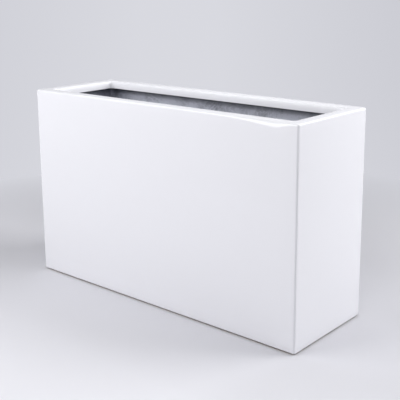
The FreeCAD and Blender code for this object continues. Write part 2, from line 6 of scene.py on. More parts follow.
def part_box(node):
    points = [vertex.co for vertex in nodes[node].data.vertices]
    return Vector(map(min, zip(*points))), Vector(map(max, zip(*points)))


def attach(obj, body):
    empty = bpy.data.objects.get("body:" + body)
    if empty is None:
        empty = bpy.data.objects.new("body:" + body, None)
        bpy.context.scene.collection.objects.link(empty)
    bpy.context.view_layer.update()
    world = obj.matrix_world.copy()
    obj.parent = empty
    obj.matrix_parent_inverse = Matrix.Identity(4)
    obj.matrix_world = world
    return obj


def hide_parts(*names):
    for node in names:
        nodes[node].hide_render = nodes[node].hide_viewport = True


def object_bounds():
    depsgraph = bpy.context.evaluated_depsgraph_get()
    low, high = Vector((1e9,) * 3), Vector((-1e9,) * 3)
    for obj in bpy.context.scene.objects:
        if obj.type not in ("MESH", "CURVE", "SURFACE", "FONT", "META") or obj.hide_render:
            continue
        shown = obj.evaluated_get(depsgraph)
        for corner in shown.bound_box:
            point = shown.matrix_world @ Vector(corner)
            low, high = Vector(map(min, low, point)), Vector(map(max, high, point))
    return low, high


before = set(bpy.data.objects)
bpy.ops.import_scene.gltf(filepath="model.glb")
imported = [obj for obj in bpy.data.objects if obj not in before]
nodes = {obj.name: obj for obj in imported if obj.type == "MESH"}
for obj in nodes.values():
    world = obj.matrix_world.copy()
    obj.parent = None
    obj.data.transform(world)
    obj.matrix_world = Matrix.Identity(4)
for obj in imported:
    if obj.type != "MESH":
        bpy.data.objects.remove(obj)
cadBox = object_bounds()
print("frame loaded:", len(nodes), "nodes")

mm = 0.001
pickRoom = 0.1 * mm     # room left when points are picked by where they lie


# selecting and shaping

def deselectAll():
    if bpy.context.object and bpy.context.object.mode != "OBJECT":
        bpy.ops.object.mode_set(mode="OBJECT")
    bpy.ops.object.select_all(action="DESELECT")


def pick(kind, test):
    # in edit mode, selects the faces, edges or corners of the active mesh whose points pass the test
    mesh = bpy.context.object.data
    bpy.ops.object.mode_set(mode="EDIT")
    bpy.ops.mesh.select_mode(type=kind)
    bpy.ops.mesh.select_all(action="DESELECT")
    bpy.ops.object.mode_set(mode="OBJECT")
    items = {"VERT": mesh.vertices, "EDGE": mesh.edges, "FACE": mesh.polygons}[kind]
    for item in items:
        corners = [item.index] if kind == "VERT" else item.vertices
        item.select = test([mesh.vertices[corner].co for corner in corners])
    bpy.ops.object.mode_set(mode="EDIT")


def near(value, target, slack=0.05 * mm):
    return abs(value - target) < slack


def allAt(points, axis, target):
    return all(near(point[axis], target) for point in points)


def runsAlong(points, axis, least):
    # true for an edge that lies along that axis and is at least that long
    span = points[1] - points[0]
    return abs(span[axis]) > least and near(abs(span[axis]), span.length, 0.5 * mm)


def addCube(name, low, high):
    deselectAll()
    middle = [(a + b) / 2 for a, b in zip(low, high)]
    size = [b - a for a, b in zip(low, high)]
    bpy.ops.mesh.primitive_cube_add(size=1, location=middle, scale=size)
    bpy.ops.object.transform_apply(location=True, rotation=True, scale=True)
    piece = bpy.context.object
    piece.name = name
    piece.data.name = name
    return piece


def bevelPicked(width, segments):
    bpy.ops.mesh.bevel(offset=width, segments=segments, profile=0.5, affect="EDGES")


def addTube(name, low, high, corner, segments):
    # four upright walls with rounded corners, open above and below
    piece = addCube(name, low, high)
    pick("FACE", lambda points: allAt(points, 2, low[2]) or allAt(points, 2, high[2]))
    bpy.ops.mesh.delete(type="FACE")
    pick("EDGE", lambda points: runsAlong(points, 2, 1 * mm))
    bevelPicked(corner, segments)
    bpy.ops.object.mode_set(mode="OBJECT")
    return piece


def spinProfile(name, centre, profile, steps):
    # draws (radius, height) points by extruding one corner, spins them about an upright axis, closes the seam
    deselectAll()
    bpy.ops.mesh.primitive_plane_add(size=mm)
    piece = bpy.context.object
    piece.name = name
    piece.data.name = name
    bpy.ops.object.mode_set(mode="EDIT")
    bpy.ops.mesh.select_mode(type="VERT")
    bpy.ops.mesh.select_all(action="SELECT")
    bpy.ops.mesh.merge(type="CENTER")
    start = Vector((profile[0][0], 0, profile[0][1]))
    bpy.ops.transform.translate(value=start)
    for radius, height in profile[1:]:
        point = Vector((radius, 0, height))
        bpy.ops.mesh.extrude_vertices_move(TRANSFORM_OT_translate={"value": point - start})
        start = point
    bpy.ops.mesh.select_all(action="SELECT")
    bpy.ops.mesh.spin(steps=steps, angle=2 * math.pi, center=(0, 0, 0), axis=(0, 0, 1))
    bpy.ops.mesh.select_all(action="SELECT")
    bpy.ops.mesh.remove_doubles(threshold=0.001 * mm)
    bpy.ops.mesh.normals_make_consistent(inside=False)
    bpy.ops.transform.translate(value=centre)
    bpy.ops.object.mode_set(mode="OBJECT")
    return piece


def gridFlats(size, pitch):
    # cuts every edge that runs most of the way along a flat, so that the flats can take a relief
    mostOfIt = 0.6
    for axis in range(3):
        pick("EDGE", lambda points: runsAlong(points, axis, mostOfIt * size[axis]))
        bpy.ops.mesh.subdivide(number_cuts=max(1, round(size[axis] / pitch) - 1))


def copyNode(name, node):
    # a merged copy of a CAD node, to soften its edges
    piece = nodes[node].copy()
    piece.data = nodes[node].data.copy()
    for key in list(piece.keys()):
        del piece[key]
    piece.parent = None
    piece.data.materials.clear()
    piece.name = name
    piece.data.name = name
    bpy.context.scene.collection.objects.link(piece)
    deselectAll()
    bpy.context.view_layer.objects.active = piece
    piece.select_set(True)
    bpy.ops.object.mode_set(mode="EDIT")
    bpy.ops.mesh.select_all(action="SELECT")
    bpy.ops.mesh.remove_doubles(threshold=0.002 * mm)
    bpy.ops.mesh.customdata_custom_splitnormals_clear()
    bpy.ops.mesh.dissolve_limited(angle_limit=math.radians(1))
    bpy.ops.object.mode_set(mode="OBJECT")
    return piece


def copyTo(piece, name, move):
    # a copy with its own mesh, its place kept in the mesh
    other = piece.copy()
    other.data = piece.data.copy()
    other.name = name
    other.data.name = name
    other.data.transform(Matrix.Translation(move))
    bpy.context.scene.collection.objects.link(other)
    return other


def joinAll(pieces):
    deselectAll()
    for piece in pieces:
        piece.select_set(True)
    bpy.context.view_layer.objects.active = pieces[0]
    bpy.ops.object.join()
    return pieces[0]


def cutAway(piece, cutter):
    addModifier(piece, "BOOLEAN", operation="DIFFERENCE", object=cutter, solver="EXACT")
    bpy.data.objects.remove(cutter)


def soften(piece, width, segments=2, angle=40):
    addModifier(piece, "BEVEL", width=width, segments=segments, limit_method="ANGLE",
                angle_limit=math.radians(angle))


def addModifier(piece, kind, **settings):
    deselectAll()
    bpy.context.view_layer.objects.active = piece
    piece.select_set(True)
    modifier = piece.modifiers.new(kind.title(), kind)
    for key, value in settings.items():
        setattr(modifier, key, value)
    bpy.ops.object.modifier_apply(modifier=modifier.name)


def roughen(piece, scale, depth):
    # moves the surface inwards, against its normals, by a cloudy relief
    relief = bpy.data.textures.new(piece.name + "Relief", "CLOUDS")
    relief.noise_scale = scale
    addModifier(piece, "DISPLACE", texture=relief, texture_coords="LOCAL", strength=depth,
                mid_level=1.0)


def finishPiece(piece, body, material, angle=35):
    deselectAll()
    bpy.context.view_layer.objects.active = piece
    piece.select_set(True)
    bpy.ops.object.shade_smooth_by_angle(angle=math.radians(angle))
    if not piece.data.materials:
        piece.data.materials.append(material)
    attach(piece, body)


# finishes

def newFinish(name, **sockets):
    material = bpy.data.materials.new(name)
    material.use_nodes = True
    shader = material.node_tree.nodes["Principled BSDF"]
    for socket, value in sockets.items():
        shader.inputs[socket.replace("_", " ")].default_value = value
    return material


def feed(material, plug, value):
    # a plug takes a plain value, or another node's output to link from
    if isinstance(value, bpy.types.NodeSocket):
        material.node_tree.links.new(value, plug)
    else:
        plug.default_value = value


def addNode(material, kind, settings=None, **sockets):
    node = material.node_tree.nodes.new("ShaderNode" + kind)
    for key, value in (settings or {}).items():
        setattr(node, key, value)
    for socket, value in sockets.items():
        feed(material, node.inputs[socket.replace("_", " ")], value)
    return node


def mathOf(material, operation, *values):
    node = addNode(material, "Math", {"operation": operation})
    for plug, value in zip(node.inputs, values):
        feed(material, plug, value)
    return node.outputs[0]


def wire(material, socket, output):
    shader = material.node_tree.nodes["Principled BSDF"]
    material.node_tree.links.new(output, shader.inputs[socket])


def objectPlace(material):
    return addNode(material, "TexCoord").outputs["Object"]


def stretchedPlace(material, scale):
    return addNode(material, "Mapping", Vector=objectPlace(material), Scale=scale).outputs["Vector"]


def heightOf(material, place):
    return addNode(material, "SeparateXYZ", Vector=place).outputs["Z"]


def rampOf(material, factor, *stops):
    # each stop is a place and a colour
    ramp = addNode(material, "ValToRGB", Fac=factor)
    points = ramp.color_ramp.elements
    while len(points) < len(stops):
        points.new(0.5)
    for point, (place, colour) in zip(points, stops):
        point.position = place
        point.color = (*colour, 1)
    return ramp.outputs["Color"]


def levelOf(material, value, low, high, toLow, toHigh):
    node = addNode(material, "MapRange", Value=value)
    for socket, number in zip(("From Min", "From Max", "To Min", "To Max"), (low, high, toLow, toHigh)):
        node.inputs[socket].default_value = number
    return node.outputs["Result"]


def noiseOf(material, place, scale, detail=2.0, roughness=0.5):
    noise = addNode(material, "TexNoise", Vector=place, Scale=scale, Detail=detail, Roughness=roughness)
    return noise.outputs["Fac"]


mostNoise = (0.3, 0.7)      # nearly all of a noise lies between these


def tint(material, factor, tones, reach=mostNoise):
    wire(material, "Base Color", rampOf(material, factor, *zip(reach, tones)))


def matten(material, factor, levels, reach=mostNoise):
    wire(material, "Roughness", levelOf(material, factor, *reach, *levels))


def emboss(material, height, depth):
    bump = addNode(material, "Bump", Height=height, Strength=1.0, Distance=depth)
    wire(material, "Normal", bump.outputs["Normal"])


paintLook = {
    "tones": ((0.836, 0.836, 0.876), (0.84, 0.84, 0.88)),
    "rough": (0.268, 0.26),
    "grain": 180.0,
    "peel": 420.0,
    "peelDepth": 0.001 * mm,
}


def whitePaint():
    look = paintLook
    material = newFinish("whitePaint", Specular_IOR_Level=0.5, Coat_Weight=0.25, Coat_Roughness=0.06)
    place = objectPlace(material)
    grain = noiseOf(material, place, look["grain"], detail=3.0)
    tint(material, grain, look["tones"])
    matten(material, grain, look["rough"])
    emboss(material, noiseOf(material, place, look["peel"], detail=1.0), look["peelDepth"])
    return material


laminateLook = {
    "tones": ((0.272, 0.28, 0.325), (0.545, 0.558, 0.63)),   # bare resin, and glass close under it
    "toneReach": (0.82, 1.2),
    "rough": (0.34, 0.58),
    "roughReach": (0.8, 1.2),
    "paintedShadeUnderRim": (0.557, 0.573, 0.3),   # heights over which painted shade darkens the laminate under the rim, and how far
    "turns": ((0, 25, 0), (0, 80, 0), (0, 140, 0), (0, 0, 35), (0, 0, 95), (0, 0, 150)),
    "fibre": (45 * mm, 2.2 * mm, 2.2 * mm),
    "fibreDepth": 0.3 * mm,
    "patch": 14.0,
    "patchShare": 0.7,
}


def roughLaminate():
    # short glass strands lie every way, so stretched noise is turned several ways and the highest wins
    look = laminateLook
    material = newFinish("roughLaminate", Specular_IOR_Level=0.5)
    place = objectPlace(material)
    strands = None
    for turn in look["turns"]:
        mapping = addNode(material, "Mapping", {"vector_type": "TEXTURE"}, Vector=place, Scale=look["fibre"],
                          Rotation=[math.radians(angle) for angle in turn])
        layer = noiseOf(material, mapping.outputs["Vector"], 1.0, detail=1.0)
        strands = layer if strands is None else mathOf(material, "MAXIMUM", strands, layer)
    patch = noiseOf(material, place, look["patch"], detail=4.0, roughness=0.6)
    tone = mathOf(material, "MULTIPLY_ADD", patch, look["patchShare"], strands)
    colour = rampOf(material, tone, *zip(look["toneReach"], look["tones"]))
    # painted shade: the laminate is darkened just below the rim, where the rim's shadow falls
    low, high, dark = look["paintedShadeUnderRim"]
    underRimShade = levelOf(material, heightOf(material, place), low, high, 0, 1)
    shade = addNode(material, "MixRGB", {"blend_type": "MULTIPLY"}, Fac=underRimShade, Color1=colour,
                    Color2=(dark, dark, dark, 1))
    wire(material, "Base Color", shade.outputs["Color"])
    matten(material, tone, look["rough"], look["roughReach"])
    emboss(material, strands, look["fibreDepth"])
    return material


plywoodLook = {
    "face": ((0.36, 0.22, 0.115), (0.50, 0.335, 0.19)),
    "faceReach": (0.32, 0.68),
    "edge": ((0.24, 0.14, 0.07), (0.46, 0.31, 0.18)),
    "edgeReach": (0.38, 0.62),
    "ply": 15 / 9 * mm,        # thickness of one ply
    "veneer": (120, 7, 120),
    "rough": (0.42, 0.6),
    "grainDepth": 0.15 * mm,
}


def sealedPlywood():
    # veneer grain on the faces, plies on the cut edges
    look = plywoodLook
    material = newFinish("sealedPlywood", Specular_IOR_Level=0.4)
    grain = noiseOf(material, stretchedPlace(material, look["veneer"]), 1.0, detail=6.0, roughness=0.62)
    face = rampOf(material, grain, *zip(look["faceReach"], look["face"]))
    plies = mathOf(material, "PINGPONG", heightOf(material, objectPlace(material)), look["ply"])
    layer = levelOf(material, plies, 0, look["ply"], 0, 1)
    edge = rampOf(material, layer, *zip(look["edgeReach"], look["edge"]))
    normal = addNode(material, "NewGeometry").outputs["Normal"]
    flat = mathOf(material, "ABSOLUTE", heightOf(material, normal))
    mix = addNode(material, "MixRGB", Fac=flat, Color1=edge, Color2=face)
    wire(material, "Base Color", mix.outputs["Color"])
    matten(material, grain, look["rough"])
    emboss(material, grain, look["grainDepth"])
    return material


battenLook = {
    "tones": ((0.45, 0.29, 0.14), (0.60, 0.43, 0.25)),
    "toneReach": (0.36, 0.6),
    "rings": (4, 160, 160),    # along the batten, then across it
    "pores": 6,                # how much finer than the rings
    "rough": (0.55, 0.75),
    "poreDepth": 0.1 * mm,
}


def planedSoftwood(name, grainScale):
    # pale and dark year rings drawn out along the batten
    look = battenLook
    material = newFinish(name, Specular_IOR_Level=0.35)
    rings = noiseOf(material, stretchedPlace(material, grainScale), 1.0, detail=3.0, roughness=0.55)
    fine = [look["pores"] * scale for scale in grainScale]
    pores = noiseOf(material, stretchedPlace(material, fine), 1.0)
    tint(material, rings, look["tones"], look["toneReach"])
    matten(material, pores, look["rough"])
    emboss(material, pores, look["poreDepth"])
    return material


zincLook = {
    "tones": ((0.50, 0.51, 0.53), (0.66, 0.66, 0.64)),
    "rough": (0.28, 0.44),
    "spangle": 260.0,
}


def zincPlate():
    look = zincLook
    material = newFinish("zincPlate", Metallic=1.0)
    spangle = noiseOf(material, objectPlace(material), look["spangle"], detail=3.0)
    tint(material, spangle, look["tones"])
    matten(material, spangle, look["rough"])
    return material


rubberLook = {
    "specular": 0.35,
    "tones": ((0.016, 0.016, 0.018), (0.034, 0.034, 0.036)),
    "toneReach": (0.3, 0.75),
    "rough": (0.62, 0.82),
    "bloom": (90.0, 4.0, 0.6),   # scale, detail and roughness of the patches
    "grain": 1400.0,
    "grainDepth": 0.03 * mm,
}

plasticLook = {
    "specular": 0.5,
    "tones": ((0.022, 0.022, 0.024), (0.042, 0.042, 0.044)),
    "toneReach": (0.35, 0.75),
    "rough": (0.34, 0.52),
    "bloom": (60.0, 5.0, 0.65),
    "grain": 900.0,
    "grainDepth": 0.02 * mm,
}


def blackMoulding(name, look):
    # patches of bloom or scuffing over a fine moulded grain
    material = newFinish(name, Specular_IOR_Level=look["specular"])
    place = objectPlace(material)
    bloom = noiseOf(material, place, *look["bloom"])
    tint(material, bloom, look["tones"], look["toneReach"])
    matten(material, bloom, look["rough"])
    emboss(material, noiseOf(material, place, look["grain"], detail=1.0), look["grainDepth"])
    return material


compositeLook = {
    "tones": ((0.21, 0.215, 0.21), (0.34, 0.345, 0.335)),
    "rough": (0.38, 0.55),
    "streakDepth": 0.12 * mm,
    "tube": (420, 5, 420),     # streaks run along the tube, and every way in the shoes
    "shoe": (70, 70, 70),
}


def drawnComposite(name, drawScale):
    look = compositeLook
    material = newFinish(name, Specular_IOR_Level=0.45)
    streak = noiseOf(material, stretchedPlace(material, drawScale), 1.0, detail=4.0, roughness=0.6)
    tint(material, streak, look["tones"])
    matten(material, streak, look["rough"])
    emboss(material, streak, look["streakDepth"])
    return material


paint = whitePaint()
laminate = roughLaminate()
plywood = sealedPlywood()
ringsAlong, ringsAcross, ringsUp = battenLook["rings"]
longBatten = planedSoftwood("longBattenWood", (ringsAlong, ringsAcross, ringsUp))
endBatten = planedSoftwood("endBattenWood", (ringsAcross, ringsAlong, ringsUp))
zinc = zincPlate()
rubber = blackMoulding("blackRubber", rubberLook)
plastic = blackMoulding("drainPlastic", plasticLook)
braceStreaks = drawnComposite("braceComposite", compositeLook["tube"])
shoeStreaks = drawnComposite("shoeComposite", compositeLook["shoe"])
print("finishes made")


# the gloss white moulding: walls, rim and return in one skin

shellLook = {
    "rim": 36 * mm,            # wall face to opening
    "returnDrop": 24 * mm,
    "draft": 3 * mm,           # the return leans inwards by this much at its lower edge
    "corner": 6 * mm,
    "mouthCorner": 11 * mm,
    "topRound": 5.5 * mm,
    "mouthRound": 5 * mm,
    "skin": 2.8 * mm,
    "lowerRound": 0.9 * mm,    # free edges of the return and the skirt
    "skirtTrim": 1.6 * mm,     # rubbed off the skirt, so that it stands clear of the floor all round
    "grid": 20 * mm,
    "waveSize": 0.3,
    "waveDepth": 0.08 * mm,
    # the front top edge was rubbed down by hand: place along it, and its round as a multiple of topRound
    "fairing": ((0.2, 1.0), (0.28, 1.2), (0.34, 1.7), (0.38, 2.5),
                (0.42, 3.3), (0.44, 3.6), (0.46, 1.5), (0.494, 1.0)),
}


def between(table, place):
    # straight-line reading of a table of (place, value) rows, and 1 outside it
    for (lowPlace, lowValue), (highPlace, highValue) in zip(table, table[1:]):
        if lowPlace <= place <= highPlace:
            return lowValue + (highValue - lowValue) * (place - lowPlace) / (highPlace - lowPlace)
    return 1.0


def fairTopEdge(piece, low, top):
    # scaling the round about the sharp corner it came from keeps it tangent to wall and rim
    look = shellLook
    reach = look["topRound"] + pickRoom
    straight = -low.x - look["corner"] + pickRoom

    def onRound(point):
        return point.y < low.y + reach and point.z > top - reach and abs(point.x) < straight

    bpy.ops.object.mode_set(mode="OBJECT")
    columns = sorted({round(corner.co.x, 5) for corner in piece.data.vertices if onRound(corner.co)})
    for column in columns:
        grow = between(look["fairing"], column)
        if grow == 1:
            continue
        pick("VERT", lambda points: near(points[0].x, column) and onRound(points[0]))
        bpy.ops.transform.resize(value=(1, grow, grow), center_override=(column, low.y, top))


def makeShell():
    look = shellLook
    low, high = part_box("outer_shell")
    low.z += look["skirtTrim"]
    top = high.z
    lipEnd = top - look["returnDrop"]
    rim = Vector((look["rim"], look["rim"], 0))
    half = high - rim
    lipCorner = Vector((*(low + rim).xy, lipEnd))
    mouth = addTube("mouthReturn", lipCorner, half, look["mouthCorner"], segments=8)
    pick("VERT", lambda points: allAt(points, 2, lipEnd))
    bpy.ops.transform.resize(value=(1 - look["draft"] / half.x, 1 - look["draft"] / half.y, 1),
                             center_override=(0, 0, lipEnd))
    bpy.ops.mesh.select_all(action="SELECT")
    bpy.ops.mesh.flip_normals()
    bpy.ops.object.mode_set(mode="OBJECT")
    piece = addTube("troughShell", low, high, look["corner"], segments=8)
    mouth.select_set(True)
    bpy.ops.object.join()

    pick("EDGE", lambda points: allAt(points, 2, top))
    bpy.ops.mesh.bridge_edge_loops()

    def onMouth(point):
        return abs(point.x) < half.x + mm and abs(point.y) < half.y + mm

    pick("EDGE", lambda points: allAt(points, 2, top) and not any(onMouth(point) for point in points))
    bevelPicked(look["topRound"], segments=6)
    pick("EDGE", lambda points: allAt(points, 2, top) and all(onMouth(point) for point in points))
    bevelPicked(look["mouthRound"], segments=6)

    gridFlats(high - low, look["grid"])
    fairTopEdge(piece, low, top)
    # the slow waves of hand-laid work
    roughen(piece, look["waveSize"], look["waveDepth"])
    # painted outside, raw laminate on its back
    piece.data.materials.append(paint)
    piece.data.materials.append(laminate)
    addModifier(piece, "SOLIDIFY", thickness=look["skin"], offset=-1, use_even_offset=False,
                material_offset=1)
    soften(piece, look["lowerRound"], segments=3, angle=60)
    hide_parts("outer_shell")
    finishPiece(piece, "planter", paint)


makeShell()
print("moulding made")


# rough backing laminate on the walls, with the relief of chopped glass mat

liningLook = {
    "corner": 12 * mm,
    "skin": 3 * mm,
    "backed": 2.2 * mm,     # what the relief leaves of the skin
    "grid": 6 * mm,
    "lumpSize": 0.03,
    "lumpDepth": 0.5 * mm,
    "matSize": 0.007,
    "matDepth": 0.5 * mm,
}


def makeLining():
    look = liningLook
    low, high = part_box("inner_laminate")
    inset = Vector((look["skin"], look["skin"], 0))
    low, high = low + inset, high - inset
    piece = addTube("wallLining", low, high, look["corner"], segments=6)
    gridFlats(high - low, look["grid"])
    bpy.ops.mesh.select_all(action="SELECT")
    bpy.ops.mesh.flip_normals()
    bpy.ops.object.mode_set(mode="OBJECT")
    roughen(piece, look["lumpSize"], look["lumpDepth"])
    roughen(piece, look["matSize"], look["matDepth"])
    addModifier(piece, "SOLIDIFY", thickness=look["backed"], offset=-1)
    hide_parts("inner_laminate")
    finishPiece(piece, "planter", laminate, angle=60)


makeLining()
print("lining made")


# laminate laid over the base, with the drain holes

floorLook = {
    "grid": 8 * mm,
    "left": 2.3 * mm,       # what the relief leaves of the skin
    "lumpSize": 0.035,
    "lumpDepth": 0.4 * mm,
    "matSize": 0.008,
    "matDepth": 0.3 * mm,
}


def makeFloorSkin():
    look = floorLook
    low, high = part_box("floor_skin")
    size = high - low
    deselectAll()
    bpy.ops.mesh.primitive_grid_add(x_subdivisions=round(size.x / look["grid"]),
                                    y_subdivisions=round(size.y / look["grid"]), size=1,
                                    location=(0, 0, high.z), scale=(size.x, size.y, 1))
    bpy.ops.object.transform_apply(location=True, rotation=True, scale=True)
    piece = bpy.context.object
    piece.name = "floorLaminate"
    roughen(piece, look["lumpSize"], look["lumpDepth"])
    roughen(piece, look["matSize"], look["matDepth"])
    addModifier(piece, "SOLIDIFY", thickness=look["left"], offset=-1)
    outline = copyNode("floorOutline", "floor_skin")
    addModifier(piece, "BOOLEAN", operation="INTERSECT", object=outline, solver="EXACT")
    bpy.data.objects.remove(outline)
    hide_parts("floor_skin")
    finishPiece(piece, "planter", laminate, angle=50)


makeFloorSkin()
print("floor made")


# base boards, battens, shoes, brace and washers: the CAD shape with softened edges

softEdges = {
    # node: piece name, finish, slot, edge width
    "base_board_left": ("baseBoardLeft", plywood, "plywood", 0.6 * mm),
    "base_board_middle": ("baseBoardMiddle", plywood, "plywood", 0.6 * mm),
    "base_board_right": ("baseBoardRight", plywood, "plywood", 0.6 * mm),
    "front_strip": ("frontBatten", longBatten, "batten_timber", 0.8 * mm),
    "rear_strip": ("rearBatten", longBatten, "batten_timber", 0.8 * mm),
    "left_strip": ("leftBatten", endBatten, "batten_timber", 0.8 * mm),
    "right_strip": ("rightBatten", endBatten, "batten_timber", 0.8 * mm),
    "brace_shoe_front": ("braceShoeFront", shoeStreaks, "brace_composite", 1.2 * mm),
    "brace_shoe_rear": ("braceShoeRear", shoeStreaks, "brace_composite", 1.2 * mm),
    "centre_brace": ("centreBrace", braceStreaks, "brace_composite", 0.3 * mm),
    "foot_washers": ("footWashers", zinc, "zinc_steel", 0.25 * mm),
    "brace_nuts": ("braceNuts", zinc, "zinc_steel", 0.4 * mm),
    "drain_nut_left": ("drainNutLeft", plastic, "drain_plastic", 0.7 * mm),
    "drain_nut_right": ("drainNutRight", plastic, "drain_plastic", 0.7 * mm),
    "drain_seal_left": ("drainSealLeft", rubber, "black_rubber", 0.4 * mm),
    "drain_seal_right": ("drainSealRight", rubber, "black_rubber", 0.4 * mm),
}


def makeSoftEdged():
    for node, (name, finish, slot, width) in softEdges.items():
        piece = copyNode(name, node)
        soften(piece, width)
        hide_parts(node)
        finishPiece(piece, "planter", finish)


makeSoftEdged()
print("boards, battens, brace and small flat parts made")


# cross-headed screws, one model for each size

screwLook = {
    "rows": {
        # node: piece name, head radius, head height, shank radius, screws along and across
        "long_strip_screws": ("longBattenScrews", 4 * mm, 2.5 * mm, 2 * mm, 6, 2),
        "end_strip_screws": ("endBattenScrews", 4 * mm, 2.5 * mm, 2 * mm, 2, 2),
        "foot_screws": ("footScrews", 5 * mm, 3.5 * mm, 2.5 * mm, 3, 2),
    },
    "dome": ((0, 0), (0.55, 0.04), (0.86, 0.25), (1, 0.7), (1, 1)),   # shares of the head's radius and height
    "slotWidth": 0.26,         # share of the head's radius
    "slotReach": 1.15,
    "slotDepth": 0.6,          # share of the head's height
    "tip": 3 * mm,
    "threadPitch": 1.6 * mm,
    "threadDepth": 0.22,       # share of the shank's radius
}


def makeScrew(name, head, headHeight, shank, length):
    # stands on its head at the origin, domed below, with thread ridges and a point
    look = screwLook
    profile = [(out * head, up * headHeight) for out, up in look["dome"]]
    profile.append((shank, headHeight))
    root, pitch, point = shank * (1 - look["threadDepth"]), look["threadPitch"], length - look["tip"]
    height = headHeight + pitch
    while height + pitch < point:
        profile += [(root, height), (shank, height + pitch / 2)]
        height += pitch
    profile += [(root, point), (0, length)]
    piece = spinProfile(name, (0, 0, 0), profile, steps=24)
    depth = look["slotDepth"] * headHeight
    half, reach = look["slotWidth"] * head / 2, look["slotReach"] * head / 2
    for sizeX, sizeY in ((half, reach), (reach, half)):
        slot = addCube("crossSlot", (-sizeX, -sizeY, -depth), (sizeX, sizeY, depth))
        cutAway(piece, slot)
    return piece


def evenly(low, high, count):
    return [low + (high - low) * step / (count - 1) for step in range(count)]


def makeScrewRows():
    for node, (name, head, headHeight, shank, along, across) in screwLook["rows"].items():
        low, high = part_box(node)
        first = makeScrew(name, head, headHeight, shank, high.z - low.z)
        screws = []
        for x in evenly(low.x + head, high.x - head, along):
            for y in evenly(low.y + head, high.y - head, across):
                screws.append(copyTo(first, name, (x, y, low.z)))
        bpy.data.objects.remove(first)
        piece = joinAll(screws)
        piece.name = name
        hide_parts(node)
        finishPiece(piece, "planter", zinc)


makeScrewRows()
print("screws made")


# button-headed brace bolts with a hexagon socket

boltLook = {
    "head": 5.5 * mm,
    "headHeight": 3.5 * mm,
    "dome": ((0, 0), (0.5, 0), (0.8, 0.3), (1, 0.75), (1, 1)),   # shares of the head's radius and height
    "shank": 3 * mm,
    "socket": 2.3 * mm,
    "socketDepth": 2.2 * mm,
    "threadPitch": 1 * mm,
    "threadDepth": 0.35 * mm,
    "threaded": 14 * mm,
}


def makeBolts():
    look = boltLook
    low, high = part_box("brace_bolts")
    length = high.x - low.x
    head, shank, pitch = look["head"], look["shank"], look["threadPitch"]
    root = shank - look["threadDepth"]
    profile = [(out * head, up * look["headHeight"]) for out, up in look["dome"]]
    profile.append((shank, look["headHeight"]))
    height = length - look["threaded"]
    profile.append((shank, height))
    while height + pitch < length:
        profile += [(root, height + pitch / 2), (shank, height + pitch)]
        height += pitch
    profile += [(root, length), (0, length)]
    first = spinProfile("braceBolts", (0, 0, 0), profile, steps=32)
    deselectAll()
    bpy.ops.mesh.primitive_cylinder_add(vertices=6, radius=look["socket"], depth=2 * look["socketDepth"])
    cutAway(first, bpy.context.object)
    # its axis is turned from upright to along the trough
    first.data.transform(Matrix.Rotation(math.radians(90), 4, "Y"))
    middle = (low.z + high.z) / 2
    bolts = [copyTo(first, "braceBolts", (low.x, y, middle)) for y in (low.y + head, high.y - head)]
    bpy.data.objects.remove(first)
    piece = joinAll(bolts)
    piece.name = "braceBolts"
    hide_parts("brace_bolts")
    finishPiece(piece, "planter", zinc)


makeBolts()
print("brace bolts made")


# rubber feet with a ringed sole round the screw recess

footLook = {
    "sole": 18 * mm,
    "top": 20 * mm,
    "edge": 1.5 * mm,
    "edgeBulge": 0.3,          # where its round comes nearest to the sharp corner, as a share of it
    "recess": 9 * mm,
    "recessDepth": 8 * mm,
    "hole": 2.8 * mm,
    "grooves": (11.5 * mm, 13.5 * mm, 15.5 * mm),
    "groove": 0.6 * mm,        # half width and depth
    "soften": 0.5 * mm,
}


def makeFeet():
    look = footLook
    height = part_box("foot_front_left")[1].z
    hole, groove, sole, edge = look["hole"], look["groove"], look["sole"], look["edge"]
    bulge = look["edgeBulge"] * edge
    profile = [(hole, height), (hole, look["recessDepth"])]
    profile += [(look["recess"], look["recessDepth"]), (look["recess"], 0)]
    for ring in look["grooves"]:
        profile += [(ring - groove, 0), (ring, groove), (ring + groove, 0)]
    profile += [(sole - edge, 0), (sole - bulge, bulge), (sole, edge), (look["top"], height), (hole, height)]
    first = spinProfile("foot", (0, 0, 0), profile, steps=56)
    soften(first, look["soften"], angle=50)
    for row in ("front", "rear"):
        for side in ("left", "middle", "right"):
            node = "foot_%s_%s" % (row, side)
            low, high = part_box(node)
            middle = (low + high) / 2
            piece = copyTo(first, "foot%s%s" % (row.title(), side.title()), (middle.x, middle.y, 0))
            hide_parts(node)
            finishPiece(piece, "planter", rubber)
    bpy.data.objects.remove(first)


makeFeet()
print("feet made")


# drains: a flanged bush with a threaded tail, and a rubber plug with a pull tab

bushLook = {
    "bore": 10 * mm,
    "outer": 13 * mm,
    "flange": 21 * mm,
    "flangeThick": 3 * mm,
    "chamfer": 1 * mm,
    "threadPitch": 1.5 * mm,
    "threadDepth": 0.5 * mm,
    "threaded": 8 * mm,
    "soften": 0.6 * mm,
}

plugLook = {
    "stem": 9.7 * mm,
    "stemEnd": 8.7 * mm,
    "length": 20 * mm,
    "ribs": (5 * mm, 10 * mm, 15 * mm),
    "waist": 0.7 * mm,         # the stem's loss between its ribs
    "head": 15 * mm,
    "headThick": 4 * mm,
    "endChamfer": 0.8 * mm,
    "ribHalf": 1.6 * mm,       # half of a rib's height
    "collar": 1.5 * mm,        # the plain top of the stem
    "headEdge": 1.2 * mm,
    "dish": (11.5 * mm, 8 * mm, 0.8 * mm, 1 * mm),   # radii, depth, and the width of its slopes
    "tab": (18 * mm, 5 * mm, 16 * mm),
    "tabCorner": 3.5 * mm,
    "tabSunk": 1 * mm,         # its foot, inside the head
    "tabSoften": 0.5 * mm,
    "grips": 4,
    "gripFoot": 2 * mm,        # the lowest groove, above the head
    "gripInset": 0.35 * mm,
    "gripDepth": 0.6 * mm,
}


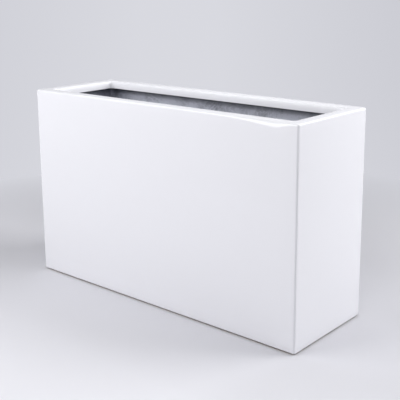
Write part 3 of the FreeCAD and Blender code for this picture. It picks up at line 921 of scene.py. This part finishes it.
def makeBushes():
    look = bushLook
    low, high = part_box("drain_bush_left")
    height = high.z - low.z
    seat = height - look["flangeThick"]
    bore, outer, flange = look["bore"], look["outer"], look["flange"]
    chamfer, pitch = look["chamfer"], look["threadPitch"]
    root = outer - look["threadDepth"]
    profile = [(bore, height - chamfer), (bore, 0)]
    level = 0
    while level + pitch <= look["threaded"]:
        profile += [(root, level), (outer, level + pitch / 2)]
        level += pitch
    profile += [(root, level), (outer, level + pitch / 2), (outer, seat), (flange, seat), (flange, height)]
    profile += [(bore + chamfer, height), (bore, height - chamfer)]
    first = spinProfile("drainBush", (0, 0, low.z), profile, steps=64)
    soften(first, look["soften"], segments=3, angle=60)
    for side in ("left", "right"):
        node = "drain_bush_" + side
        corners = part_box(node)
        middle = (corners[0] + corners[1]) / 2
        piece = copyTo(first, "drainBush" + side.title(), (middle.x, middle.y, 0))
        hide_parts(node)
        finishPiece(piece, "planter", plastic)
    bpy.data.objects.remove(first)


def makeTab(foot):
    # pull tab with rounded top corners and finger grooves on both faces
    look = plugLook
    width, thick, height = look["tab"]
    top = foot + height
    tab = addCube("pullTab", (-width / 2, -thick / 2, foot - look["tabSunk"]), (width / 2, thick / 2, top))
    pick("EDGE", lambda points: allAt(points, 2, top) and runsAlong(points, 1, thick / 2))
    bevelPicked(look["tabCorner"], segments=6)
    levels = evenly(foot + look["gripFoot"], top - look["tabCorner"], 2 * look["grips"])
    for level in levels:
        bpy.ops.mesh.select_all(action="SELECT")
        bpy.ops.mesh.bisect(plane_co=(0, 0, level), plane_no=(0, 0, 1))
    for low, high in zip(levels[0::2], levels[1::2]):
        for face in (-thick / 2, thick / 2):
            pick("FACE", lambda points: allAt(points, 1, face)
                 and all(low - pickRoom < point.z < high + pickRoom for point in points))
            bpy.ops.mesh.inset(thickness=look["gripInset"], depth=-look["gripDepth"])
    bpy.ops.object.mode_set(mode="OBJECT")
    soften(tab, look["tabSoften"], angle=60)
    return tab


def makePlugs():
    look = plugLook
    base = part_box("drain_plug_left")[0].z
    seat = look["length"]
    top = seat + look["headThick"]
    stem, stemEnd, head = look["stem"], look["stemEnd"], look["head"]
    chamfer, edge = look["endChamfer"], look["headEdge"]
    profile = [(0, 0), (stemEnd - chamfer, 0), (stemEnd, chamfer)]
    for rib in look["ribs"]:
        radius = stemEnd + (stem - stemEnd) * rib / seat
        waist = radius - look["waist"]
        profile += [(waist, rib - look["ribHalf"]), (radius, rib), (waist, rib + look["ribHalf"])]
    profile += [(stem, seat - look["collar"]), (stem, seat), (head, seat)]
    profile += [(head, top - edge), (head - edge / 3, top - edge / 3), (head - edge, top)]
    dishOuter, dishInner, dishDepth, dishSlope = look["dish"]
    profile += [(dishOuter, top), (dishOuter - dishSlope, top - dishDepth)]
    profile += [(dishInner + dishSlope, top - dishDepth), (dishInner, top), (0, top)]
    first = spinProfile("drainPlug", (0, 0, base), profile, steps=56)
    tab = makeTab(base + top)
    addModifier(first, "BOOLEAN", operation="UNION", object=tab, solver="EXACT")
    bpy.data.objects.remove(tab)
    for side in ("left", "right"):
        node = "drain_plug_" + side
        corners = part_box(node)
        middle = (corners[0] + corners[1]) / 2
        piece = copyTo(first, "drainPlug" + side.title(), (middle.x, middle.y, 0))
        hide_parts(node)
        finishPiece(piece, "plug_" + side, rubber)
    bpy.data.objects.remove(first)


makeBushes()
makePlugs()
print("drains made")


# floor, backdrop, camera and lamps

stageLook = {
    "colour": (0.64, 0.64, 0.68),
    "paintedLightFrontColour": (0.73, 0.73, 0.77),
    "frontReach": (-0.1, -0.5),         # painted light: the paper lightens between these places in front of the object
    "sides": (-0.5, 0.55, 1.06, 0.97),  # places left and right, and the paper's shade at each: painted light on the left, painted shade on the right
    # the even level's tones from left to right, with painted light lighter in the middle and falling off to
    # the sides, and half the width over which they lie
    "backdrop": ((0, (0.63, 0.635, 0.685)), (0.38, (0.69, 0.695, 0.745)),
                 (0.55, (0.69, 0.695, 0.745)), (1, (0.6, 0.605, 0.655))),
    "backdropReach": 1.45,
    "fade": (0.95, 1.7),       # distances between which the paper goes over to the even level
    "front": 3.0,
    "back": 3.2,
    "side": 4.5,
    "height": 4.0,
    "sweep": 1.6,
    "sweepSteps": 24,
}


def seenRay(material):
    # 1 for rays that show a surface directly, mirrored or through something,
    # and 0 for rays that only light others
    path = addNode(material, "LightPath")
    seen = path.outputs["Is Camera Ray"]
    for ray in ("Is Glossy Ray", "Is Transmission Ray"):
        seen = mathOf(material, "MAXIMUM", seen, path.outputs[ray])
    return seen


def palePaper():
    # takes light and shadow near the object, and goes over to an even level further away
    look = stageLook
    material = newFinish("palePaper", Roughness=0.9, Specular_IOR_Level=0.1)
    place = objectPlace(material)
    # painted light and shade on the floor: lighter in front of the object, lighter to the left and darker to
    # the right
    depth = addNode(material, "SeparateXYZ", Vector=place).outputs["Y"]
    front = levelOf(material, depth, *look["frontReach"], 0, 1)
    paper = rampOf(material, front, (0, look["colour"]), (1, look["paintedLightFrontColour"]))
    sideways = addNode(material, "VectorMath", {"operation": "DOT_PRODUCT"}, Vector=place)
    feed(material, sideways.inputs[1], facing(cameraLook["azimuth"] + 90, 0))
    across = sideways.outputs["Value"]
    sides = levelOf(material, across, *look["sides"])
    shade = addNode(material, "VectorMath", {"operation": "SCALE"}, Vector=paper, Scale=sides)
    wire(material, "Base Color", shade.outputs["Vector"])
    away = addNode(material, "VectorMath", {"operation": "LENGTH"}, Vector=place).outputs["Value"]
    fade = levelOf(material, away, *look["fade"], 0, 1)
    reach = look["backdropReach"]
    # painted light: the backdrop's glow is lighter in the middle and dimmer towards the sides
    tone = rampOf(material, levelOf(material, across, -reach, reach, 0, 1), *look["backdrop"])
    even = addNode(material, "Emission", Color=tone, Strength=1.0)
    mix = addNode(material, "MixShader", Fac=mathOf(material, "MULTIPLY", seenRay(material), fade))
    ends = material.node_tree.nodes
    feed(material, mix.inputs[1], ends["Principled BSDF"].outputs["BSDF"])
    feed(material, mix.inputs[2], even.outputs["Emission"])
    feed(material, ends["Material Output"].inputs["Surface"], mix.outputs["Shader"])
    return material


def makeStage():
    look = stageLook
    deselectAll()
    bpy.ops.mesh.primitive_plane_add(size=1)
    piece = bpy.context.object
    piece.name = "sweepFloor"
    bpy.ops.object.mode_set(mode="EDIT")
    bpy.ops.mesh.select_all(action="SELECT")
    bpy.ops.transform.resize(value=(2 * look["side"], look["front"] + look["back"], 1))
    bpy.ops.transform.translate(value=(0, (look["back"] - look["front"]) / 2, 0))
    pick("EDGE", lambda points: allAt(points, 1, look["back"]))
    bpy.ops.mesh.extrude_region_move(TRANSFORM_OT_translate={"value": (0, 0, look["height"])})
    pick("EDGE", lambda points: allAt(points, 1, look["back"]) and allAt(points, 2, 0))
    bevelPicked(look["sweep"], look["sweepSteps"])
    bpy.ops.object.mode_set(mode="OBJECT")
    bpy.ops.object.shade_smooth()
    # the backdrop stands square to the camera's line of sight
    turn = math.radians(-cameraLook["azimuth"])
    bpy.ops.transform.rotate(value=turn, orient_axis="Z", center_override=(0, 0, 0))
    bpy.ops.object.transform_apply(location=True, rotation=True, scale=True)
    piece.data.materials.append(palePaper())


cameraLook = {
    "lens": 71.757,
    "azimuth": 40.602,
    "elevation": 12.339,
    "roll": -0.394,
    "distance": 2.4168,
    "slide": 0.0339,
    "lift": 0.1344,
    "shiftY": -0.12,
}


def facing(azimuth, elevation):
    # unit vector from the object towards the viewer
    around, above = math.radians(azimuth), math.radians(elevation)
    return Vector((math.sin(around) * math.cos(above), -math.cos(around) * math.cos(above), math.sin(above)))


def makeCamera():
    look = cameraLook
    back = facing(look["azimuth"], look["elevation"])
    right = facing(look["azimuth"] + 90, 0)
    up = back.cross(right)
    roll = math.radians(look["roll"])
    right, up = math.cos(roll) * right + math.sin(roll) * up, math.cos(roll) * up - math.sin(roll) * right
    middle = (cadBox[0] + cadBox[1]) / 2
    place = middle + look["slide"] * right + look["lift"] * up + look["distance"] * back
    data = bpy.data.cameras.new("photoCamera")
    data.lens = look["lens"]
    data.shift_y = look["shiftY"]
    camera = bpy.data.objects.new("photoCamera", data)
    bpy.context.scene.collection.objects.link(camera)
    camera.matrix_world = Matrix((right, up, back)).transposed().to_4x4()
    camera.location = place
    bpy.context.scene.camera = camera


lampLook = {
    # azimuth, elevation, distance, width, height, watts
    "frontLeftBox": (-32, 32, 2.6, 2.0, 2.0, 50.5),
    "cameraHighBox": (35, 45, 3.2, 1.6, 1.6, 32),
    "rightRearBox": (130, 30, 2.8, 1.8, 1.8, 54),
    "rightLowBox": (118, 14, 3.0, 1.6, 1.2, 15.5),
    "rearEdgeBox": (160, 70, 1.3, 0.6, 0.4, 4.0),
}


worldLook = {
    "colour": (0.615, 0.62, 0.67),
    "light": 0.0,
    "seen": 1.0,
}


def makeLamps():
    middle = (cadBox[0] + cadBox[1]) / 2
    for name, (azimuth, elevation, distance, width, height, watts) in lampLook.items():
        data = bpy.data.lights.new(name, "AREA")
        data.shape = "RECTANGLE"
        data.size, data.size_y = width, height
        data.energy = watts
        lamp = bpy.data.objects.new(name, data)
        bpy.context.scene.collection.objects.link(lamp)
        back = facing(azimuth, elevation)
        lamp.location = middle + distance * back
        lamp.rotation_euler = back.to_track_quat("Z", "Y").to_euler()


def makeWorld():
    # as pale as the backdrop where it is seen directly, mirrored or through something; it lights nothing
    look = worldLook
    world = bpy.data.worlds.new("studio")
    world.use_nodes = True
    background = world.node_tree.nodes["Background"]
    background.inputs["Color"].default_value = (*look["colour"], 1)
    strength = levelOf(world, seenRay(world), 0, 1, look["light"], look["seen"])
    feed(world, background.inputs["Strength"], strength)
    bpy.context.scene.world = world


makeStage()
makeCamera()
makeLamps()
makeWorld()
bpy.context.scene.view_settings.view_transform = "Standard"
print("stage, camera and lamps made")
